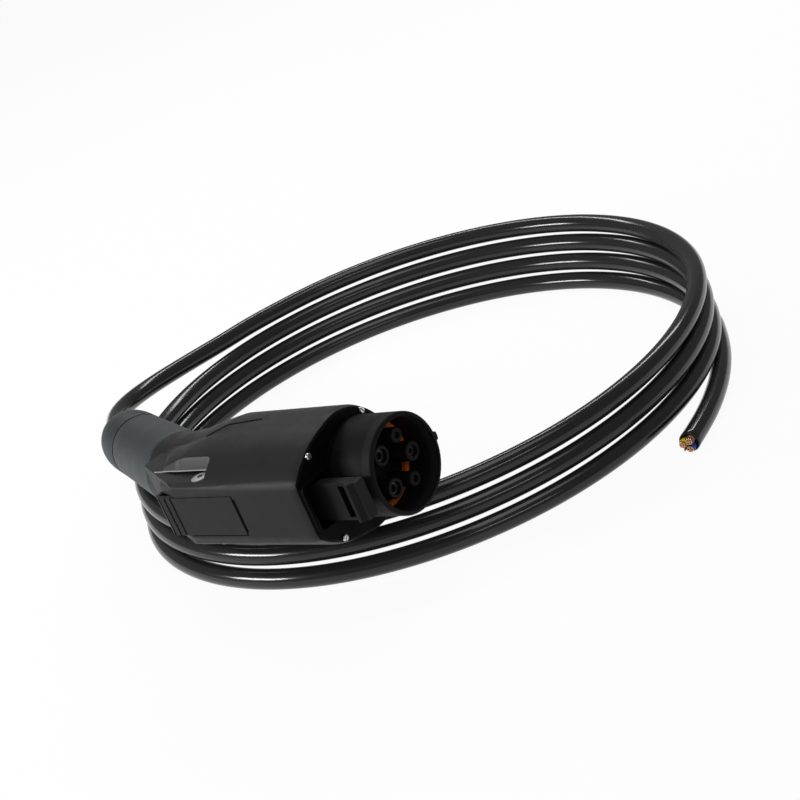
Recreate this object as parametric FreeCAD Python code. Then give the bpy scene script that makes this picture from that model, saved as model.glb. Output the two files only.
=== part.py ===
import FreeCAD, Part
import math
import os

# Electric car charging cable: a five-contact coupler with a latch on one side of its
# round nose, a hand grip behind it, and a cut lead wound in a loose flat coil.
#
# All sizes are millimetres. The coupler is drawn upright (X out of the nose, Y to the
# side, Z towards the latch) and then laid on its flank by LAY. Row frame: origin at the
# centre of the nose's mouth, +Z up from the floor the cable lies on, +X the way the
# nose points, seen from above.

V = FreeCAD.Vector
TAU = 2.0 * math.pi

# Running clearances
FIT = 0.05            # between a fixed piece and its seat
RUN = 0.05            # pivot pin to lever, radial
FREE = 0.8            # round the moving lever
SLIT = 0.35           # beside the button
SAME = 0.01           # two coordinates closer than this are the same
REACH = 120.0         # half size of the blocks that cut the coupler

# Nose and front plate
NOSE_R = 21.9
NOSE_WALL = 2.0
NOSE_LEN = 25.7
LIP = 1.4             # bevel on the nose's mouth
KEY_W = 4.2           # guide rib on the side away from the latch
KEY_H = 1.9
KEY_LEN = 20.0
KEY_ROUND = 1.2
PLATE_T = 3.0
PLATE_BEVEL = 0.7

# Outline of the shells, half of it, seen from the front
TOP_Z = NOSE_R + 17.6           # height of the flat on the latch side
TOP_HALF = 10.6
EDGE = (13.8, TOP_Z - 0.9)      # outer edge of the bevel beside the flat
FLANK_MID = (22.5, TOP_Z - 12.9)
FLANK = (NOSE_R + 5.2, 11.8)
BELLY_Z = -(NOSE_R + 2.3)
ROUND_TOP = 75.0                # where those points lie once the outline is round, degrees
ROUND_EDGE = 71.0
ROUND_MID = 51.0
ROUND_LOW = 22.6
WALL = 2.6
FRONT_DROP = 0.9                # bevel round the front, inwards
FRONT_RUN = 3.3                 # the same bevel, along the nose's axis
PLATE_INSET = FRONT_DROP + 0.3  # plate edge inside the shells' outline

# Length of the shells
SHELL_FRONT = -(NOSE_LEN + 0.6)
KNEE_X = -103.0                 # where the shoulders start to slope to the grip
KNEE_SLOPE = 0.5
CREST_FRONT = -96.0             # the raised middle is drawn on its own from here back
NECK_X = -138.0                 # where the outline has become round
HOLLOW_REAR = NECK_X + 12.0     # behind it the hollow is a round bore
# X, and how far the shoulder and the flank have turned into the neck's circle
TAPER = ((-88.0, 0.0, 0.0), (-104.0, 0.0, 0.35), (-120.0, 0.27, 0.78), (NECK_X, 1.0, 1.0))

# Grip
BEND_X = -139.0       # where the grip's axis leaves the nose's axis
BEND_DEG = 23.8
BEND_R = 45.0
NECK_R = 18.6
NECK_STEP = 0.5       # how far the shells' rear stands round the neck
GRIP_LEN = 108.0      # from the bend to the grip's end
GRIP_END_R = 17.0
GRIP_WALL = 3.0
COLLAR_LEN = 34.0
COLLAR_R = 17.0
COLLAR_END_R = 16.3
COLLAR_ROUND = 8.0
COLLAR_GAP = 1.2
SEAM_GAP = 0.6
SPIGOT_LEN = 22.0
SPIGOT_WALL = 2.0

# Latch lever and release button
PIVOT_X = -62.0
PIVOT_Z = NOSE_R + 5.5
PIN_R = 1.5
PIN_HALF = 13.5
HUB_R = 3.6
ARM_HALF = 8.75
ARM_TOP = NOSE_R + 8.1
ARM_T = 5.0
ARM_TIP = -1.0
HOOK_LEN = 6.6
HOOK_DROP = 1.6
HOOK_RISE = 2.2
SLOT = (4.4, 7.4, 2.5)          # pocket behind the hook: length, half width, depth
BUTTON_FRONT = -67.6
BUTTON_REAR = -121.0
BUTTON_HALF = 9.6
BUTTON_T = 3.0
BUTTON_DROP = 9.0     # depth of the button's rear skirt
BUTTON_BACK = 2.2     # gap behind it
CARRIER_HALF = 6.0
CARRIER_T = 5.5
GROOVES = 4
GROOVE_PITCH = 3.9
GROOVE_W = 0.9
GROOVE_D = 0.6
GROOVE_FIRST = -107.8
WINDOW_HALF = ARM_HALF + 1.6
WINDOW_TOP = ARM_TOP + 6.0
RIM_T = 1.8
RIM_H = 1.4
RIM_ROUND = 2.2

# Return spring and switch
SPRING_X = -100.0
SPRING_R = 3.4
SPRING_WIRE = 0.45
SPRING_TURNS = 6
SPRING_BASE = TOP_Z - 25.5
SWITCH = (13.0, 6.4, 6.0)
SWITCH_X = SPRING_X + 16.0
SWITCH_TOP = TOP_Z - 12.7
PLUNGER_R = 1.0

# Contacts: side, height, pin radius, sleeve radius, tower radius
CONTACTS = {
    "contact_line": (-7.9, 6.8, 1.80, 2.9, 4.5),
    "contact_neutral": (7.9, 6.8, 1.80, 2.9, 4.5),
    "contact_earth": (0.0, -10.6, 1.40, 2.4, 4.4),
    "contact_pilot": (-10.65, -5.6, 0.75, 1.5, 3.4),
    "contact_proximity": (10.65, -5.6, 0.75, 1.5, 3.4),
}
TOWER_FRONT = -5.0
TOWER_BEVEL = 0.4
SLEEVE_FRONT = -7.0
BORE_LEN = 18.0
SLEEVE_REAR = -37.0
CRIMP_SHARE = 0.69    # the wire barrel's bore, of the sleeve's radius
CRIMP_LEN = 8.0
INSERT_R = NOSE_R - NOSE_WALL - FIT
INSERT_FACE = -19.5
INSERT_REAR = -32.0
SEAL_W = 0.12 * INSERT_R
SEAL_T = 2.0

# Screws
SCREW_HEAD_R = 1.5
SCREW_HEAD_H = 1.1
SCREW_SHANK_R = 0.95
SCREW_SHANK_L = 9.0
SCREW_SLOT = 0.5
SCREW_TURN = 35.0               # degrees the slots are turned by
LOW_SCREW_R = NOSE_R + SCREW_HEAD_R + 0.06
LOW_SCREW = math.radians(-29.35)    # from the side, seen from the front
PLATE_SCREWS = (
    (NOSE_R - 2.1, NOSE_R + 4.1),
    (LOW_SCREW_R * math.cos(LOW_SCREW), LOW_SCREW_R * math.sin(LOW_SCREW)),
)
NOTCH_FRONT = -84.3
NOTCH_WALL = 15.9
NOTCH_FLOOR = TOP_Z - 13.3
NOTCH_ROUND = 3.0
CASE_SCREW = (NOTCH_FRONT - 5.2, NOTCH_FLOOR + 5.3)
CASE_HEAD_R = 3.4
CASE_HEAD_H = 0.7
CASE_HOLE_R = 1.3

# Cable
CABLE_D = 10.0
LAYER = 1.02 * CABLE_D          # height of one turn on the next
COIL_RX = 154.4
COIL_RY = 147.5
LEAN_X = 0.67                   # how far each turn shifts from the one above
LEAN_Y = 5.58
TURNS = 3.5
COIL_MID_TOP = 35.7             # height of the wound part's top at its middle
COIL_TILT_AXIS = (0.35, -1.0)   # line about which that top slopes down to the left
COIL_TILT_DEG = 1.85
COIL_START = 1.05               # radians from the coil's left side
COIL_CENTRE = (-125.2, 153.7)
COIL_YAW = 45.1
FLOOR_Z = -71.3
LEAD_INSIDE = 17.0              # how far it reaches into the collar
LEAD_STRAIGHT = 14.0            # how far the cable runs straight out of the collar
LEAD_POINTS = [                 # coil frame, from the grip to the first turn
    (-164.6, 41.0, 43.3), (-158.5, 64.0, 40.3), (-145.0, 83.5, 37.8),
    (-125.5, 100.0, 36.2), (-101.0, 114.5, 35.6),
]
TAIL_POINTS = [                 # coil frame, from the last turn to the cut end
    (149.6, -50.0, 5.0), (144.4, -71.0, 5.0), (136.2, -93.0, 5.0),
    (125.2, -114.5, 5.0), (113.0, -133.0, 5.0), (103.4, -145.0, 5.0),
]

# Cut end
CORE_R = 2.0
CONTROL_R = 0.6
CORE_OFF = 2.35                 # from the sheath's middle to a core's
CONTROL_OFF = 3.1
CORES = {                       # angle round the sheath from its level side, offset, radius
    "earth": (5.0, CORE_OFF, CORE_R),
    "line": (125.0, CORE_OFF, CORE_R),
    "neutral": (-115.0, CORE_OFF, CORE_R),
    "control": (-55.0, CONTROL_OFF, CONTROL_R),
}
CORE_OUT = 2.0
TIP_OUT = 1.3
COPPER_SHARE = 0.8              # of the core's radius

# Pose of the coupler
NOSE_UP_DEG = 5.41
FLANK_ROLL_DEG = 88.09


def box(x0, x1, y0, y1, z0, z1):
    return Part.makeBox(x1 - x0, y1 - y0, z1 - z0, V(x0, y0, z0))


def rod(radius, start, end):
    """Cylinder between two points."""
    axis = end - start
    return Part.makeCylinder(radius, axis.Length, start, axis)


def along_x(radius, x0, x1, y=0.0, z=0.0):
    return rod(radius, V(min(x0, x1), y, z), V(max(x0, x1), y, z))


def prism(points, direction):
    wire = Part.makePolygon(points + [points[0]])
    return Part.Face(wire).extrude(direction)


def polar(radius, degrees):
    """Side and height of a point on a circle, from its angle above the side."""
    angle = math.radians(degrees)
    return radius * math.cos(angle), radius * math.sin(angle)


def outline(x, inset=0.0, shoulder=0.0, flank=0.0, radius=NECK_R, sink=0.0):
    """The shells' outline in the plane X = x, drawn inside by inset.

    Shoulder and flank are how far the upper and lower parts have turned into a circle of
    that radius, whose centre is sink under the nose's axis."""
    def turned(side, height, degrees, share):
        round_side, round_height = polar(radius, degrees)
        round_height -= sink
        return side + (round_side - side) * share, height + (round_height - height) * share

    top = turned(TOP_HALF - 0.3 * inset, TOP_Z - inset, ROUND_TOP, shoulder)
    edge = turned(EDGE[0] - 0.8 * inset, EDGE[1] - 0.6 * inset, ROUND_EDGE, shoulder)
    mid = turned(FLANK_MID[0] - 0.9 * inset, FLANK_MID[1] - 0.4 * inset, ROUND_MID, shoulder)
    low = turned(FLANK[0] - inset, FLANK[1], ROUND_LOW, flank)
    belly = turned(0.0, BELLY_Z + inset, -90.0, flank)
    crown = turned(0.0, TOP_Z - inset, 90.0, shoulder)

    def arc(first, middle, last):
        return Part.Arc(V(x, *first), V(x, *middle), V(x, *last)).toShape()

    def across(point):
        return -point[0], point[1]

    if shoulder:
        top_edge = arc(top, crown, across(top))
    else:
        top_edge = Part.makeLine(V(x, *top), V(x, *across(top)))
    return Part.Wire([
        Part.makeLine(V(x, *edge), V(x, *top)), top_edge,
        Part.makeLine(V(x, *across(top)), V(x, *across(edge))),
        arc(across(edge), across(mid), across(low)), arc(across(low), belly, low),
        arc(low, mid, edge),
    ])


def section(x0, x1, inset=0.0):
    """Straight bar of the shells' outline from x0 forward to x1."""
    return Part.Face(outline(x0, inset)).extrude(V(x1 - x0, 0, 0))


def shell_body(front, inset=0.0, bevel=0.0):
    """The shells from their front to the round neck, without the raised middle."""
    bend = (BEND_X + bend_reach() - NECK_X) / BEND_R
    sink = BEND_R * (1.0 - math.cos(math.asin(bend)))
    sections = []
    if bevel:
        sections.append(outline(front, inset + bevel))
        front -= FRONT_RUN
    sections.append(outline(front, inset))
    for x, shoulder, flank in TAPER:
        sections.append(outline(x, inset, shoulder, flank, NECK_R + NECK_STEP - inset, sink))
    return Part.makeLoft(sections, True, True)


def crest(inset=0.0):
    """The raised middle behind the flat, which slopes down to the grip."""
    half = NOTCH_WALL - inset
    rear = NECK_X - 5.0
    bar = section(rear, CREST_FRONT, inset)
    bar = bar.common(box(rear, CREST_FRONT, -half, half, 0.0, REACH))
    top = TOP_Z - inset
    rise = KNEE_SLOPE * REACH
    below = prism([
        V(KNEE_X - REACH, -REACH, top - rise), V(KNEE_X + REACH, -REACH, top + rise),
        V(KNEE_X + REACH, -REACH, -REACH), V(KNEE_X - REACH, -REACH, -REACH),
    ], V(0, 2 * REACH, 0))
    return bar.common(below)


def shoulder_notches(grow=0.0):
    """The two notches for the case screws, with their floors and walls moved by grow."""
    made = []
    for side in (1, -1):
        near, far = sorted((side * (NOTCH_WALL - grow), side * REACH))
        notch = box(NECK_X, NOTCH_FRONT + grow, near, far, NOTCH_FLOOR - grow, REACH)
        corner = [
            e for e in notch.Edges
            if abs(e.CenterOfMass.x - NOTCH_FRONT - grow) < SAME
            and abs(e.CenterOfMass.z - NOTCH_FLOOR + grow) < SAME
        ]
        made.append(notch.makeFillet(NOTCH_ROUND, corner))
    return made


def grip_axis(s, side=0.0, rise=0.0):
    """Point s along the grip's axis behind its bend, with offsets across it."""
    a = math.radians(BEND_DEG)
    return V(BEND_X - s * math.cos(a) - rise * math.sin(a), side, -s * math.sin(a) + rise * math.cos(a))


def neck_bar(radius, x0, s1):
    """Round bar from X = x0 round the bend to s1 on the grip's axis."""
    a = math.radians(BEND_DEG)
    reach = BEND_R * math.tan(a / 2)
    start = V(BEND_X + reach, 0, 0)
    centre = V(BEND_X + reach, 0, -BEND_R)
    middle = centre + V(-BEND_R * math.sin(a / 2), 0, BEND_R * math.cos(a / 2))
    path = [Part.makeLine(V(x0, 0, 0), start), Part.Arc(start, middle, grip_axis(reach)).toShape()]
    if s1 > reach:
        path.append(Part.makeLine(grip_axis(reach), grip_axis(s1)))
    ring = Part.Wire([Part.makeCircle(radius, V(x0, 0, 0), V(1, 0, 0))])
    return Part.Wire(path).makePipeShell([ring], True, True)


def bend_reach():
    return BEND_R * math.tan(math.radians(BEND_DEG) / 2)


def shell_pair():
    """Both halves of the casing, split on the plane of the latch."""
    seam = grip_axis(bend_reach())
    axis = grip_axis(1.0) - grip_axis(0.0)
    body = shell_body(SHELL_FRONT, bevel=FRONT_DROP).fuse(crest())
    for notch in shoulder_notches():
        body = body.cut(notch)
    body = body.fuse(neck_bar(NECK_R, BEND_X + bend_reach() - 1.0, bend_reach()))
    body = body.cut(rod(REACH, seam, seam + axis * REACH))
    # the hollow inside: the same shapes again, one wall in
    hollow = shell_body(SHELL_FRONT - PLATE_T, WALL).fuse(crest(WALL))
    for notch in shoulder_notches(WALL):
        hollow = hollow.cut(notch)
    bore = NECK_R - GRIP_WALL - SPIGOT_WALL
    hollow = hollow.cut(box(NECK_X - REACH, HOLLOW_REAR, -REACH, REACH, -REACH, REACH))
    hollow = hollow.fuse(neck_bar(bore, HOLLOW_REAR + 1.0, bend_reach() + 1.0))
    body = body.cut(hollow)
    # spigot that the grip slides over
    spigot_r = NECK_R - GRIP_WALL - FIT
    spigot = rod(spigot_r, grip_axis(bend_reach() - 3.0), grip_axis(bend_reach() + SPIGOT_LEN))
    spigot = spigot.cut(rod(bore, grip_axis(bend_reach() - 4.0), grip_axis(bend_reach() + SPIGOT_LEN + 1)))
    body = body.fuse(spigot)
    # seat of the front plate
    body = body.cut(section(SHELL_FRONT - PLATE_T, SHELL_FRONT + 1, PLATE_INSET - FIT))
    # opening for the button, and its pocket down to the hollow
    half = BUTTON_HALF + SLIT
    rear, front = BUTTON_REAR - BUTTON_BACK, BUTTON_FRONT + FREE
    body = body.cut(box(rear, front, -half, half, TOP_Z - BUTTON_DROP - 7.0, REACH))
    # bosses of the pivot pin and the front plate's screws
    for side in (1, -1):
        inner, outer = side * (ARM_HALF + FREE), side * (PIN_HALF + 6.0)
        boss = rod(HUB_R + 0.6, V(PIVOT_X, inner, PIVOT_Z), V(PIVOT_X, outer, PIVOT_Z))
        body = body.fuse(boss.common(section(PIVOT_X - 10, PIVOT_X + 10, 0.5)))
        for y, z in PLATE_SCREWS:
            rear = SHELL_FRONT - PLATE_T
            post = along_x(SCREW_SHANK_R + 1.9, rear - SCREW_SHANK_L, rear, side * y, z)
            body = body.fuse(post.common(section(rear - SCREW_SHANK_L - 1.0, rear, PLATE_INSET)))
    # bars that carry the spring's foot and the switch
    switch_foot = SWITCH_TOP - SWITCH[2]
    for x, half, top in ((SPRING_X, 5.0, SPRING_BASE), (SWITCH_X, 7.0, switch_foot)):
        bar = box(x - half, x + half, -REACH, REACH, top - 2.0, top)
        body = body.fuse(bar.common(shell_body(SHELL_FRONT, 1.0)))
    end = PIN_HALF + FIT
    body = body.cut(rod(PIN_R + FIT, V(PIVOT_X, -end, PIVOT_Z), V(PIVOT_X, end, PIVOT_Z)))
    for side in (1, -1):
        for y, z in PLATE_SCREWS:
            start = SHELL_FRONT - PLATE_T - SCREW_SHANK_L - 1.0
            body = body.cut(along_x(SCREW_SHANK_R + FIT, start, SHELL_FRONT + 1, side * y, z))
    left = body.common(box(-2 * REACH, REACH, -REACH, 0, -REACH, REACH)).removeSplitter()
    return left, left.mirror(V(0, 0, 0), V(0, 1, 0))


def top_corners(block, z, half):
    """The two edges along X at height z and that far to each side."""
    return [
        e for e in block.Edges
        if abs(e.CenterOfMass.z - z) < SAME and abs(abs(e.CenterOfMass.y) - half) < SAME
    ]


def front_housing():
    """Front plate with the round nose, its guide rib and the latch window."""
    front = -NOSE_LEN
    plate = Part.makeLoft([
        outline(front, PLATE_INSET + PLATE_BEVEL), outline(front - PLATE_BEVEL, PLATE_INSET),
        outline(front - PLATE_T, PLATE_INSET),
    ], True, True)
    nose = along_x(NOSE_R, front - 0.5, 0.0)
    mouth = [e for e in nose.Edges if abs(e.CenterOfMass.x) < SAME]
    nose = nose.makeFillet(LIP, mouth)
    key = box(-KEY_LEN, -LIP, -KEY_W / 2, KEY_W / 2, -(NOSE_R + KEY_H), -(NOSE_R - NOSE_WALL / 2))
    foot = -(NOSE_R + KEY_H)
    long_edges = [e for e in key.Edges if abs(e.CenterOfMass.z - foot) < SAME and e.Length > KEY_W + 1]
    key = key.makeFillet(KEY_ROUND, long_edges)
    solid = plate.fuse([nose, key])
    # raised rim round the latch window, open towards the nose
    half = WINDOW_HALF
    bottom = NOSE_R - 1.0
    rim = box(front - 0.5, front + RIM_H, -(half + RIM_T), half + RIM_T, bottom, WINDOW_TOP + RIM_T)
    rim = rim.makeFillet(RIM_ROUND + RIM_T, top_corners(rim, WINDOW_TOP + RIM_T, half + RIM_T))
    solid = solid.fuse(rim)
    sill = ARM_TOP - ARM_T - HOOK_DROP - 0.4
    window = box(front - PLATE_T - 1, front + RIM_H + 1, -half, half, sill, WINDOW_TOP)
    solid = solid.cut(window.makeFillet(RIM_ROUND, top_corners(window, WINDOW_TOP, half)))
    solid = solid.cut(along_x(NOSE_R - NOSE_WALL, front - PLATE_T - 1, 1.0))
    for side in (1, -1):
        for y, z in PLATE_SCREWS:
            solid = solid.cut(along_x(SCREW_SHANK_R + 0.2, front - PLATE_T - 1, front + 1, side * y, z))
    return solid.removeSplitter()


def contact_insert():
    """Moulded block in the nose: a base with one round tower for each contact."""
    base = along_x(INSERT_R, INSERT_REAR, INSERT_FACE)
    towers = []
    for side, rise, _pin, _sleeve, radius in CONTACTS.values():
        tower = along_x(radius, INSERT_FACE - 1, TOWER_FRONT, side, rise)
        mouth = [e for e in tower.Edges if abs(e.CenterOfMass.x - TOWER_FRONT) < SAME]
        towers.append(tower.makeChamfer(TOWER_BEVEL, mouth))
    body = base.fuse(towers)
    for side, rise, _pin, sleeve, _tower in CONTACTS.values():
        body = body.cut(along_x(sleeve + FIT, INSERT_REAR - 1, TOWER_FRONT + 1, side, rise))
    return body.removeSplitter()


def contact(side, rise, pin, sleeve, _tower):
    """Turned sleeve: the mating pin's bore in front, a crimp barrel behind."""
    body = along_x(sleeve, SLEEVE_REAR, SLEEVE_FRONT, side, rise)
    body = body.cut(along_x(pin, SLEEVE_FRONT - BORE_LEN, SLEEVE_FRONT + 1, side, rise))
    return body.cut(along_x(sleeve * CRIMP_SHARE, SLEEVE_REAR - 1, SLEEVE_REAR + CRIMP_LEN, side, rise))


def seal_ring():
    ring = along_x(INSERT_R, INSERT_FACE, INSERT_FACE + SEAL_T)
    return ring.cut(along_x(INSERT_R - SEAL_W, INSERT_FACE - 1, INSERT_FACE + SEAL_T + 1))


def side_prism(half, points):
    """Solid of constant width from points given as X and Z."""
    return prism([V(x, -half, z) for x, z in points], V(0, 2 * half, 0))


def latch_lever():
    """Rocker: hook and arm in front of the pivot, button carrier behind it."""
    under = ARM_TOP - ARM_T
    back = ARM_TIP - HOOK_LEN
    arm = box(PIVOT_X - 2, ARM_TIP, -ARM_HALF, ARM_HALF, under, ARM_TOP)
    tip = side_prism(ARM_HALF, [
        (back, ARM_TOP - 1), (back, ARM_TOP), (back + 0.25 * HOOK_LEN, ARM_TOP + HOOK_RISE),
        (back + 0.5 * HOOK_LEN, ARM_TOP + HOOK_RISE), (ARM_TIP, ARM_TOP - 2.6), (ARM_TIP, ARM_TOP - 3.4),
    ])
    beak = side_prism(ARM_HALF - 1.0, [
        (ARM_TIP - 4.5, under + 1), (ARM_TIP - 4.5, under - HOOK_DROP),
        (ARM_TIP - 2.6, under - HOOK_DROP), (ARM_TIP, under + 1),
    ])
    hub = rod(HUB_R, V(PIVOT_X, -ARM_HALF, PIVOT_Z), V(PIVOT_X, ARM_HALF, PIVOT_Z))
    seat = TOP_Z - BUTTON_T
    carrier = side_prism(CARRIER_HALF, [
        (PIVOT_X + 1, PIVOT_Z - 2.4), (PIVOT_X + 1, PIVOT_Z + 2.4), (BUTTON_FRONT - 3, seat),
        (BUTTON_REAR + 6, seat), (BUTTON_REAR + 6, seat - CARRIER_T), (BUTTON_FRONT - 9, seat - CARRIER_T),
    ])
    body = arm.fuse([tip, beak, hub, carrier])
    # pocket across the arm behind the hook
    length, half, depth = SLOT
    body = body.cut(box(back - length, back, -half, half, ARM_TOP - depth, ARM_TOP + 1))
    body = body.cut(rod(PIN_R + RUN, V(PIVOT_X, -REACH, PIVOT_Z), V(PIVOT_X, REACH, PIVOT_Z)))
    return body.removeSplitter()


def release_button():
    """Pad flush with the flat, grooved across its rear end."""
    seat = TOP_Z - BUTTON_T
    pad = side_prism(BUTTON_HALF, [
        (BUTTON_FRONT, seat), (BUTTON_FRONT, TOP_Z), (BUTTON_REAR + 5, TOP_Z),
        (BUTTON_REAR, TOP_Z - 3.2), (BUTTON_REAR, TOP_Z - BUTTON_DROP),
        (BUTTON_REAR + 2.4, TOP_Z - BUTTON_DROP), (BUTTON_REAR + 2.4, seat),
    ])
    for index in range(GROOVES):
        x = GROOVE_FIRST - index * GROOVE_PITCH
        pad = pad.cut(box(x - GROOVE_W / 2, x + GROOVE_W / 2, -REACH, REACH, TOP_Z - GROOVE_D, TOP_Z + 1))
    return pad


def latch_spring():
    """Compression spring between the cup's floor and the button carrier."""
    top = TOP_Z - BUTTON_T - CARRIER_T - 0.1
    height = top - SPRING_BASE - 2 * SPRING_WIRE - 0.3
    pitch = height / SPRING_TURNS
    helix = Part.makeHelix(pitch, height, SPRING_R)
    wire = Part.Wire([Part.makeCircle(SPRING_WIRE, V(SPRING_R, 0, 0), V(0, 1, 0))])
    spring = Part.Wire(helix.Edges).makePipeShell([wire], True, True)
    spring.translate(V(SPRING_X, 0, SPRING_BASE + SPRING_WIRE + 0.05))
    return spring


def micro_switch():
    length, width, height = SWITCH
    x0, x1 = SWITCH_X - length / 2, SWITCH_X + length / 2
    body = box(x0, x1, -width / 2, width / 2, SWITCH_TOP - height, SWITCH_TOP)
    plunger = rod(PLUNGER_R, V(SWITCH_X + 3, 0, SWITCH_TOP - 1), V(SWITCH_X + 3, 0, SWITCH_TOP + 1.4))
    return body.fuse(plunger)


def screw(head_r, head_h, shank_r, shank_l):
    """Slotted screw along -X with the underside of its head at the origin."""
    head = along_x(head_r, 0, head_h)
    crown = [e for e in head.Edges if abs(e.CenterOfMass.x - head_h) < 0.01]
    head = head.makeFillet(head_h * 0.45, crown)
    head = head.cut(box(head_h * 0.5, head_h + 1, -head_r - 1, head_r + 1, -SCREW_SLOT / 2, SCREW_SLOT / 2))
    return head.fuse(along_x(shank_r, -shank_l, 0.2))


def plate_screws():
    made = []
    for side in (1, -1):
        for y, z in PLATE_SCREWS:
            one = screw(SCREW_HEAD_R, SCREW_HEAD_H, SCREW_SHANK_R, PLATE_T + SCREW_SHANK_L)
            one.rotate(V(0, 0, 0), V(1, 0, 0), SCREW_TURN * side)
            one.translate(V(-NOSE_LEN + 0.02, side * y, z))
            made.append(one)
    return Part.makeCompound(made)


def case_screws():
    """Washer-headed screws on the notch walls, with a round socket."""
    made = []
    for side in (1, -1):
        start = V(CASE_SCREW[0], side * (NOTCH_WALL + 0.02), CASE_SCREW[1])
        head = rod(CASE_HEAD_R, start, start + V(0, side * CASE_HEAD_H, 0))
        head = head.cut(rod(CASE_HOLE_R, start + V(0, side * 0.25, 0), start + V(0, side * 2, 0)))
        made.append(head)
    return Part.makeCompound(made)


def hand_grip():
    """Soft cover of the grip: slides over the spigot, tapers to the collar."""
    s0 = bend_reach() + SEAM_GAP
    s1 = GRIP_LEN - COLLAR_LEN - COLLAR_GAP
    axis = grip_axis(1.0) - grip_axis(0.0)
    outer = Part.makeCone(NECK_R, GRIP_END_R, s1 - s0, grip_axis(s0), axis)
    rim = [e for e in outer.Edges if (e.CenterOfMass - grip_axis(s0)).Length < 0.01]
    outer = outer.makeFillet(1.2, rim)
    inner = rod(NECK_R - GRIP_WALL, grip_axis(s0 - 1), grip_axis(bend_reach() + SPIGOT_LEN + 1.0))
    lead = rod(CABLE_D / 2 + FIT, grip_axis(s0), grip_axis(s1 + 1))
    return outer.cut(inner).cut(lead)


def end_collar():
    """Clamp nut at the grip's end, with the hole that the cable leaves by."""
    s0 = GRIP_LEN - COLLAR_LEN - COLLAR_GAP
    axis = grip_axis(1.0) - grip_axis(0.0)
    neck = rod(GRIP_END_R - 1.2, grip_axis(s0), grip_axis(s0 + COLLAR_GAP + 1))
    nut = Part.makeCone(COLLAR_R, COLLAR_END_R, COLLAR_LEN, grip_axis(GRIP_LEN - COLLAR_LEN), axis)
    rims = [e for e in nut.Edges if abs((e.CenterOfMass - grip_axis(GRIP_LEN)).Length) < 0.01]
    nut = nut.makeFillet(COLLAR_ROUND, rims)
    return neck.fuse(nut).cut(rod(CABLE_D / 2 + FIT, grip_axis(s0 - 1), grip_axis(GRIP_LEN + 1)))


LAY = FreeCAD.Placement(
    V(0, 0, 0),
    FreeCAD.Rotation(V(0, 1, 0), -NOSE_UP_DEG) * FreeCAD.Rotation(V(1, 0, 0), FLANK_ROLL_DEG))
COIL = FreeCAD.Placement(V(COIL_CENTRE[0], COIL_CENTRE[1], FLOOR_Z), FreeCAD.Rotation(V(0, 0, 1), COIL_YAW))


def laid(shape):
    return shape.transformed(LAY.toMatrix(), False)


def smooth(share):
    share = min(max(share, 0.0), 1.0)
    return share * share * (3 - 2 * share)


def turn_point(t):
    """Centre of the wound cable t radians from the coil's left side, in the coil's frame."""
    level = TURNS - 0.5
    for turn in range(int(TURNS)):
        level -= smooth((t - math.pi - TAU * turn) / math.pi)
    return V(-COIL_RX * math.cos(t) - LEAN_X * t / TAU, COIL_RY * math.sin(t) - LEAN_Y * t / TAU,
             CABLE_D / 2 + LAYER * level)


def coil_solid():
    """Outer shape of the leaning stack of turns, lower at the front left."""
    rise = LAYER * (TURNS - 0.5) + CABLE_D
    foot = V(-LEAN_X * (TURNS - 0.5), -LEAN_Y * (TURNS - 0.1), 0)
    rims = []
    for grow in (CABLE_D / 2, -CABLE_D / 2):
        rims.append(Part.Wire([Part.Ellipse(foot, COIL_RX + grow, COIL_RY + grow).toShape()]))
    stack = Part.Face(rims[0]).cut(Part.Face(rims[1])).extrude(V(0, LEAN_Y * (TURNS - 0.3), rise))
    # the stack is one turn lower on the left than on the right
    wide = 2 * COIL_RX
    above = Part.makeBox(2 * wide, 2 * wide, wide, V(-wide, -wide, 0))
    above.rotate(V(0, 0, 0), V(*COIL_TILT_AXIS, 0), COIL_TILT_DEG)
    above.translate(V(0, 0, COIL_MID_TOP))
    return stack.cut(above)


def cord_path(points, name):
    """Straight runs joined by tangent arcs, as large as the runs allow."""
    edges = []
    position = points[0]
    radii = []
    for before, here, after in zip(points, points[1:], points[2:]):
        u, w = before - here, after - here
        runs = min(u.Length, w.Length)
        u.normalize()
        w.normalize()
        half_turn = (math.pi - u.getAngle(w)) / 2
        back = 0.45 * runs
        radius = back / math.tan(half_turn)
        start, end = here + u * back, here + w * back
        bisector = u + w
        bisector.normalize()
        middle = here + bisector * (radius / math.cos(half_turn) - radius)
        edges.append(Part.makeLine(position, start))
        edges.append(Part.Arc(start, middle, end).toShape())
        position = end
        radii.append(radius)
    edges.append(Part.makeLine(position, points[-1]))
    print(name, "radii", [round(r) for r in radii], "length", round(sum(e.Length for e in edges), 1))
    return Part.Wire(edges)


def cord_tube(points, name):
    path = cord_path(points, name)
    heading = points[1] - points[0]
    ring = Part.Wire([Part.makeCircle(CABLE_D / 2, points[0], heading)])
    tube = path.makePipeShell([ring], True, True)
    expected = math.pi * CABLE_D ** 2 / 4 * path.Length
    print(name, "volume / expected", round(tube.Volume / expected, 4))
    return tube


def coil_frame_to_row(point):
    return COIL.multVec(V(*point) if isinstance(point, tuple) else point)


def lead_points():
    exit_point = LAY.multVec(grip_axis(GRIP_LEN))
    heading = LAY.multVec(grip_axis(GRIP_LEN + 1)) - exit_point
    inside = exit_point - heading * LEAD_INSIDE
    middle = [coil_frame_to_row(p) for p in LEAD_POINTS]
    return [inside, exit_point + heading * LEAD_STRAIGHT, *middle, coil_frame_to_row(turn_point(COIL_START))]


def tail_points():
    last = coil_frame_to_row(turn_point(TAU * TURNS + 0.05))
    return [last] + [coil_frame_to_row(p) for p in TAIL_POINTS]


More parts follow.
